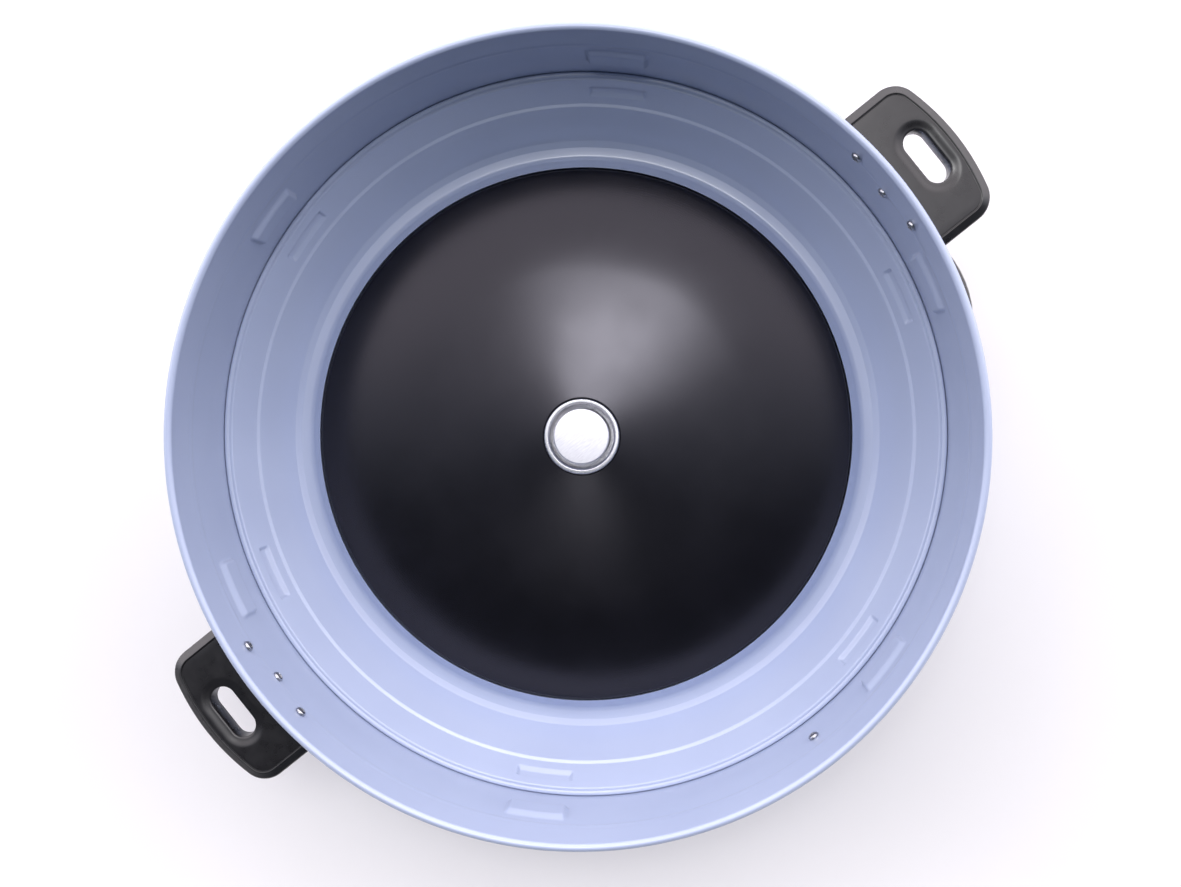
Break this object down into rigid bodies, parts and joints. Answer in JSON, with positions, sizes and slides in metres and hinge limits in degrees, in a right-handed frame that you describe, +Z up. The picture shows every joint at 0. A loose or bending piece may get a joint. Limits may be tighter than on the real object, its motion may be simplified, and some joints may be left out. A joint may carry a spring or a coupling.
{
  "type": "electric cooker body",
  "caption": "Round electric cooker body: painted drum with a stepped liner, domed heating plate, sprung centre sensor, side handles and a bulging control box.",
  "frame": {"origin": "on the floor, below the axis of the drum; the centre of the bottom of the part's box", "axes": "+X towards the right handle, +Z up along the drum's axis, -Y is the front, with the screw of the front plate"},
  "size_m": [0.509, 0.4298, 0.186],
  "materials": {
    "blue_enamel": "glossy powder coat",
    "black_cast": "satin black coating on cast aluminium",
    "bakelite": "moulded phenolic, satin gloss",
    "bright_steel": "bright zinc or nickel plated",
    "aluminium": "brushed",
    "zinc_sheet": "galvanised sheet",
    "ferrite": "matt sintered",
    "rubber": "matt",
    "red_lens": "translucent lens",
    "amber_lens": "translucent lens",
    "white_plastic": "moulded"
  },
  "bodies": {
    "housing": {"outer_shell": "blue_enamel", "liner_pan": "blue_enamel", "base_pan": "zinc_sheet", "heating_plate": "black_cast", "heating_element": "bright_steel", "element_terminal_1": "bright_steel", "element_terminal_2": "bright_steel", "thermal_fuse": "white_plastic", "sensor_ring": "bright_steel", "sensor_cup": "zinc_sheet", "sensor_spring": "bright_steel", "lever_bracket": "zinc_sheet", "lever_pin": "bright_steel", "lever_spring": "bright_steel", "microswitch": "bakelite", "control_box": "bakelite", "lamp_cook": "red_lens", "lamp_warm": "amber_lens", "front_plate": "aluminium", "front_screw": "bright_steel", "cord_gland": "rubber", "terminal_block": "white_plastic", "handle_right": "bakelite", "handle_left": "bakelite", "foot_1": "rubber", "foot_screw_1": "bright_steel", "base_screw_1": "bright_steel", "foot_2": "rubber", "foot_screw_2": "bright_steel", "base_screw_2": "bright_steel", "foot_3": "rubber", "foot_screw_3": "bright_steel", "base_screw_3": "bright_steel", "foot_4": "rubber", "foot_screw_4": "bright_steel", "base_screw_4": "bright_steel", "plate_post_1": "zinc_sheet", "handle_right_screw_1": "bright_steel", "handle_left_screw_1": "bright_steel", "plate_post_2": "zinc_sheet", "handle_right_screw_2": "bright_steel", "handle_left_screw_2": "bright_steel", "plate_post_3": "zinc_sheet", "handle_right_screw_3": "bright_steel", "handle_left_screw_3": "bright_steel"},
    "sensor": {"sensor_cap": "aluminium", "sensor_ferrite": "ferrite"},
    "magnet_lift": {"magnet": "ferrite", "pull_rod": "bright_steel"},
    "lever": {"cook_lever": "bright_steel", "cook_key": "bakelite"},
    "plunger": {"switch_plunger": "white_plastic"}
  },
  "joints": [
    {"name": "sensor_press", "type": "slide", "parent": "housing", "child": "sensor", "axis": [0, 0, -1], "range_m": [0, 0.004], "stiffness_N_per_m": 400, "springref_m": -0.005, "deforming": ["sensor_spring"]},
    {"name": "cook_lever_turn", "type": "hinge", "parent": "housing", "child": "lever", "pos_m": [0.04406, -0.01322, 0.03975], "axis": [0.2874, 0.9578, 0], "range_deg": [0, 5], "stiffness_Nm_per_rad": 0.6, "springref_deg": -8.59},
    {"name": "magnet_slide", "type": "slide", "parent": "housing", "child": "magnet_lift", "axis": [0, 0, 1], "range_m": [0, 0.0041]},
    {"name": "switch_press", "type": "slide", "parent": "housing", "child": "plunger", "axis": [0, 0, -1], "range_m": [0, 0.0039]}
  ],
  "couplings": [
    {"joint": "magnet_slide", "follows": "cook_lever_turn", "m_per_rad": 0.046},
    {"joint": "switch_press", "follows": "cook_lever_turn", "m_per_rad": 0.044}
  ]
}
